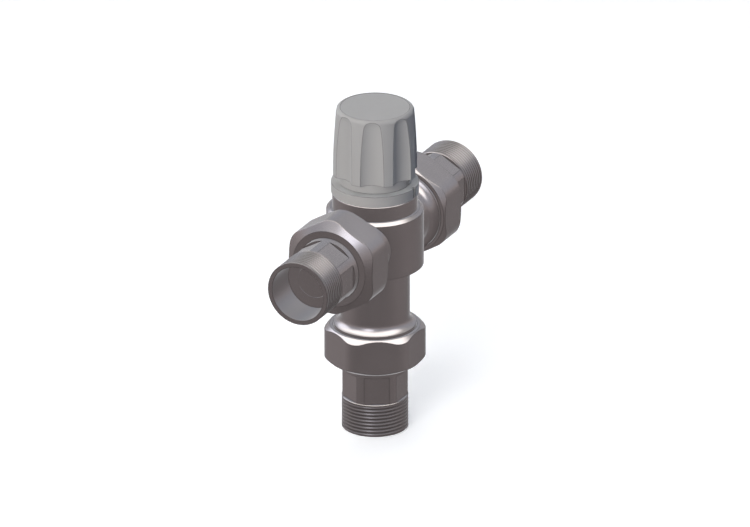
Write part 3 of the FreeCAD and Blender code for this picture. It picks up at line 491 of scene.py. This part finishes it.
def notch_angles(radius):
    """Angles just inside and outside the notch's two walls."""
    half = math.asin(NOTCH_WIDTH / 2 / radius)
    return [1.5 * math.pi + side * half * share for side in (-1, 1) for share in (0.5, 0.999, 1.001)]


def make_lock_ring():
    """The plastic ring under the knob, with its index notch."""
    rows = [(0, notched(LOCK_RADIUS - 0.12)), (0.12, notched(LOCK_RADIUS)),
            (LOCK_HEIGHT - 0.05, notched(LOCK_RADIUS)), (LOCK_HEIGHT, notched(LOCK_RADIUS - 0.05)),
            (LOCK_HEIGHT, LOCK_INNER), (0, LOCK_INNER)]
    piece = ringed_piece("lock_ring_moulded", rows, even_angles(240, notch_angles(LOCK_RADIUS)))
    piece.data.transform(Matrix.Translation((0, 0, HEAD_TOP * MM)))
    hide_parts("lock_ring")
    return finish_piece(piece, "root", "grey_plastic")


def rib_radius(height):
    """The long curve of the knob's ribs, from their lower end to the rim, then the rounded rim."""
    rim_start = KNOB_HEIGHT - RIM_HEIGHT
    if height > rim_start:
        return arc_radius(height, (RIB_TOP, rim_start), (KNOB_FLAT, KNOB_HEIGHT), RIM_CURVE)
    return arc_radius(height, (RIB_BASE, SKIRT_HEIGHT), (RIB_TOP, rim_start), RIB_CURVE)


def arc_radius(height, low, high, curve):
    """The radius at a height on the outward arc from a low point to a high one, each (radius, height)."""
    low, high = Vector(low), Vector(high)
    chord = high - low
    normal = Vector((-chord.y, chord.x)).normalized()
    centre = (low + high) / 2 + normal * math.sqrt(max(curve ** 2 - chord.length_squared / 4, 0))
    return centre.x + math.sqrt(max(curve ** 2 - (height - centre.y) ** 2, 0))


def flute_reach(angle, height):
    """How far the knob reaches in a flute, which ends in a ball, or a large value between flutes."""
    step = TURN / FLUTES
    away = (angle % step) - step / 2
    centre = FLUTE_FLOOR + FLUTE_RADIUS
    past_end = max(0.0, height - (KNOB_HEIGHT - FLUTE_DROP))
    inside = FLUTE_RADIUS ** 2 - past_end ** 2 - (centre * math.sin(away)) ** 2
    if inside <= 0:
        return 3 * KNOB_HEIGHT
    return centre * math.cos(away) - math.sqrt(inside)


def along_flute_edges(height, limit):
    """A function that moves evenly spaced angles so that some lie on the flutes' two edges at a height."""
    step = TURN / FLUTES
    centre = FLUTE_FLOOR + FLUTE_RADIUS
    past_end = max(0.0, height - (KNOB_HEIGHT - FLUTE_DROP))
    across = (centre ** 2 + limit ** 2 - FLUTE_RADIUS ** 2 + past_end ** 2) / (2 * centre * limit)
    edge = math.acos(min(across, 0.9999))

    def moved(angle):
        part = (angle % step) / step - 0.5
        side = math.copysign(1.0, part)
        away = abs(part)
        if away < FLUTE_SHARE:
            place = edge * away / FLUTE_SHARE
        else:
            place = edge + (step / 2 - edge) * (away - FLUTE_SHARE) / (0.5 - FLUTE_SHARE)
        return angle - part * step + side * place
    return moved


def make_knob():
    """The knob: tapered ribs and flutes, the skirt and its notch, and the hollow inside."""
    def fluted(height):
        limit = rib_radius(height)
        return height, lambda angle: min(limit, flute_reach(angle, height)), along_flute_edges(height, limit)

    rows = [(0, notched(SKIRT_RADIUS - 0.1)), (0.1, notched(SKIRT_RADIUS)),
            (SKIRT_HEIGHT, notched(SKIRT_RADIUS)), (SKIRT_HEIGHT, SKIRT_RADIUS),
            fluted(SKIRT_HEIGHT), fluted(SKIRT_HEIGHT + 0.3)]
    rim_start = KNOB_HEIGHT - RIM_HEIGHT
    for height in heights(SKIRT_HEIGHT + 0.6, rim_start - 3.0, 0.8) + heights(rim_start - 2.85, rim_start, 0.15):
        rows.append(fluted(height))
    for height in heights(rim_start, KNOB_HEIGHT, 0.1)[1:]:
        rows.append(fluted(height))
    socket_end = BOSS_START + SOCKET_DEPTH
    roof = KNOB_HEIGHT - KNOB_ROOF
    rows += [(KNOB_HEIGHT, KNOB_FLAT - 0.04), (KNOB_HEIGHT - TOP_STEP, KNOB_FLAT - 0.12),
             (KNOB_HEIGHT - TOP_STEP, 7.0), (KNOB_HEIGHT - TOP_STEP, 0.0),
             (socket_end, 0.0), (socket_end, lambda angle: hexagon_reach(angle, SOCKET_FLATS)),
             (BOSS_START, lambda angle: hexagon_reach(angle, SOCKET_FLATS)),
             (BOSS_START, BOSS_RADIUS), (roof, BOSS_RADIUS), (roof, KNOB_HOLLOW), (0, KNOB_HOLLOW)]
    piece = ringed_piece("temperature_knob_moulded", rows, even_angles(480, notch_angles(SKIRT_RADIUS)))
    piece.data.transform(Matrix.Translation((0, 0, KNOB_BASE * MM)))
    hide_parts("temperature_knob")
    return finish_piece(piece, "knob", "grey_plastic")


def finish_piece(piece, body, slot):
    """Give a piece its finish and the body that it moves with."""
    piece.data.materials.append(FINISHES[slot])
    piece.visible_glossy = False
    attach(piece, body)
    return piece


def make_check_spring(port):
    """A check valve's spring, as the CAD model has it, moving with its tailpiece."""
    node = frame["nodes"][port + "_check_spring"]
    piece = bpy.data.objects.new(port + "_check_spring_wound", node.data.copy())
    bpy.context.scene.collection.objects.link(piece)
    piece.data.materials.clear()
    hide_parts(port + "_check_spring")
    finish_piece(piece, port + "_tail", "spring_steel")
    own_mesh(piece)
    return piece


for port in ("hot", "cold", "outlet"):
    make_tailpiece(port, has_seat=port != "outlet")
    make_nut(port)
make_check_spring("hot")
make_check_spring("cold")
make_lock_ring()
make_knob()

# The CAD nodes that stay get the same finishes.
for subpart in frame["record"]["subparts"]:
    node = frame["nodes"][subpart["node"]]
    node.data.materials.clear()
    node.data.materials.append(PLAIN_FINISH if subpart["node"] in UNLINED else FINISHES[subpart["material_slot"]])
    node.visible_glossy = False


# ---------------------------------------------------------------- stage, light and camera

def view_direction(right, up, back):
    """A direction given to the right, up and towards the photographer, in the frame's own axes."""
    return Vector(TO_RIGHT) * right + Vector(TO_CAMERA) * back + Vector((0, 0, up))


def soft_box(name, place, size, brightness, colour=(1, 1, 1)):
    """A rectangular soft box that faces the valve, its long side level, from how bright its face is."""
    data = bpy.data.lights.new(name, "AREA")
    data.shape = "RECTANGLE"
    data.size, data.size_y = size
    data.energy = brightness * math.pi * size[0] * size[1]
    data.color = colour
    lamp = bpy.data.objects.new(name, data)
    lamp.location = VIEW_AIM + view_direction(*place)
    lamp.visible_glossy = False
    inward = (VIEW_AIM - lamp.location).normalized()
    level = inward.cross(Vector((0, 0, 1))).normalized()
    if abs(inward.z) > 0.9:
        level = Vector(TO_RIGHT)
        level = (level - inward * level.dot(inward)).normalized()
    upright = level.cross(inward)
    lamp.rotation_euler = Matrix((level, upright, -inward)).transposed().to_euler()
    bpy.context.scene.collection.objects.link(lamp)


FLOOR, FLOOR_GLOW = 4.0, 0.32          # half its side in metres, and what lifts it to white for the camera
floor_mesh = bpy.data.meshes.new("floor")
floor_mesh.from_pydata([(-FLOOR, -FLOOR, 0), (FLOOR, -FLOOR, 0), (FLOOR, FLOOR, 0), (-FLOOR, FLOOR, 0)],
                       [], [(0, 1, 2, 3)])
floor = bpy.data.objects.new("floor", floor_mesh)
floor.location.z = -0.0002
bpy.context.scene.collection.objects.link(floor)
floor_material, floor_tree, floor_shader, floor_where = node_material("pale_floor")
floor_shader.inputs["Roughness"].default_value = 0.9
path = floor_tree.nodes.new("ShaderNodeLightPath")
white = ramp(floor_tree, noise(floor_tree, floor_where, 6.0),
             [(0.3, (0.93, 0.93, 0.93)), (0.7, (0.95, 0.95, 0.95))])
unseen = mix_colour(floor_tree, path.outputs["Is Glossy Ray"], (0.11, 0.12, 0.14), BLACK)
floor_tree.links.new(mix_colour(floor_tree, path.outputs["Is Camera Ray"], unseen, white),
                     floor_shader.inputs["Base Color"])

# What the metal mirrors of the floor: darkest towards the camera, brighter at the sides, most on the left.
outward = floor_tree.nodes.new("ShaderNodeVectorMath")
outward.operation = "NORMALIZE"
floor_tree.links.new(floor_where, outward.inputs[0])
to_camera = dot_with(floor_tree, outward.outputs["Vector"], TO_CAMERA)
to_right = dot_with(floor_tree, outward.outputs["Vector"], TO_RIGHT)
left_side = calculate(floor_tree, "MULTIPLY", spread(floor_tree, to_camera, 0.24, -0.06, -0.3, 0.5),
                      spread(floor_tree, to_right, 1.0, 0.0, -0.35, 0.0))
level = calculate(floor_tree, "ADD", spread(floor_tree, to_camera, 0.98, 0.70, 0.2, 0.92), left_side)
mirrored_floor = mix_colour(floor_tree, 1.0, (0.98, 0.97, 1.0), level, "MULTIPLY")
floor_tree.links.new(mix_colour(floor_tree, path.outputs["Is Camera Ray"], mirrored_floor, WHITE),
                     floor_shader.inputs["Emission Color"])
seen_glow = calculate(floor_tree, "MULTIPLY", path.outputs["Is Camera Ray"], FLOOR_GLOW)
floor_tree.links.new(calculate(floor_tree, "ADD", seen_glow, path.outputs["Is Glossy Ray"]),
                     floor_shader.inputs["Emission Strength"])
floor.data.materials.append(floor_material)

world = bpy.data.worlds.new("studio")
bpy.context.scene.world = world
world.use_nodes = True
sky = world.node_tree
direction = sky.nodes.new("ShaderNodeTexCoord").outputs["Generated"]
rightward = dot_with(sky, direction, TO_RIGHT)
backward = dot_with(sky, direction, TO_CAMERA)
upward = dot_with(sky, direction, (0, 0, 1))

# The room's plain light: from the left, falling off to a cool shade on the right, with a fill from behind.
room = ramp(sky, spread(sky, rightward, 0.0, 1.0, -1.0, 1.0),
            [(0.15, (0.53, 0.52, 0.51)), (0.42, (0.30, 0.295, 0.295)), (0.65, (0.0, 0.015, 0.08))])
behind = spread(sky, backward, 0.85, 0.0, -0.95, -0.2)
room = mix_colour(sky, 1.0, room, mix_colour(sky, 1.0, (0.97, 0.98, 1.0), behind, "MULTIPLY"), "ADD")

# What the metal mirrors above it: a dim dome with a bright top and two soft spots.
ceiling = ramp(sky, upward, [(0.0, (0.72, 0.70, 0.70)), (0.3, (0.75, 0.86, 0.98)),
                             (0.5, (0.76, 0.87, 0.98)), (0.75, (0.92, 1.0, 1.0))])
sideways = calculate(sky, "MAXIMUM", calculate(sky, "MULTIPLY", rightward, 0.35),
                     calculate(sky, "MULTIPLY", rightward, -0.28))
near_side = calculate(sky, "MULTIPLY", calculate(sky, "MINIMUM", backward, 0.3), 0.35)
height = calculate(sky, "ADD", calculate(sky, "ADD", upward, sideways), near_side)
overhead = spread(sky, height, 2.65, 11.0, 0.85, 0.95)
towards_key = dot_with(sky, direction, tuple(view_direction(-0.32, 0.463, 0.829)))
towards_left = dot_with(sky, direction, tuple(view_direction(-0.75, 0.53, -0.39)))
sides = calculate(sky, "ADD", spread(sky, towards_key, 0.0, 8.6, 0.952, 0.985),
                  spread(sky, towards_left, 0.0, 8.0, 0.86, 0.95))
glow = calculate(sky, "ADD", overhead, sides)
mirrored = mix_colour(sky, 1.0, ceiling, glow, "MULTIPLY")
light_path = sky.nodes.new("ShaderNodeLightPath")
lit = mix_colour(sky, light_path.outputs["Is Glossy Ray"], room, mirrored)
sky.links.new(mix_colour(sky, light_path.outputs["Is Camera Ray"], lit, WHITE),
              sky.nodes["Background"].inputs["Color"])

soft_box("key_soft_box", (-0.45, 0.52, 1.20), (0.68, 0.66), 9.3, (1.0, 0.985, 0.965))
soft_box("top_soft_box", (-0.1, 1.3, 0.0), (0.7, 0.6), 2.7, (1.0, 0.985, 0.975))

camera_data = bpy.data.cameras.new("camera")
camera_data.type = "ORTHO"
camera_data.ortho_scale = VIEW_WIDTH
camera = bpy.data.objects.new("camera", camera_data)
back = Vector((math.sin(VIEW_AZIMUTH) * math.cos(VIEW_ELEVATION),
               -math.cos(VIEW_AZIMUTH) * math.cos(VIEW_ELEVATION), math.sin(VIEW_ELEVATION)))
camera.location = VIEW_AIM + back * VIEW_DISTANCE
camera.rotation_euler = (-back).to_track_quat("-Z", "Y").to_euler()
bpy.context.scene.collection.objects.link(camera)
bpy.context.scene.camera = camera
bpy.context.scene.view_settings.view_transform = "Standard"
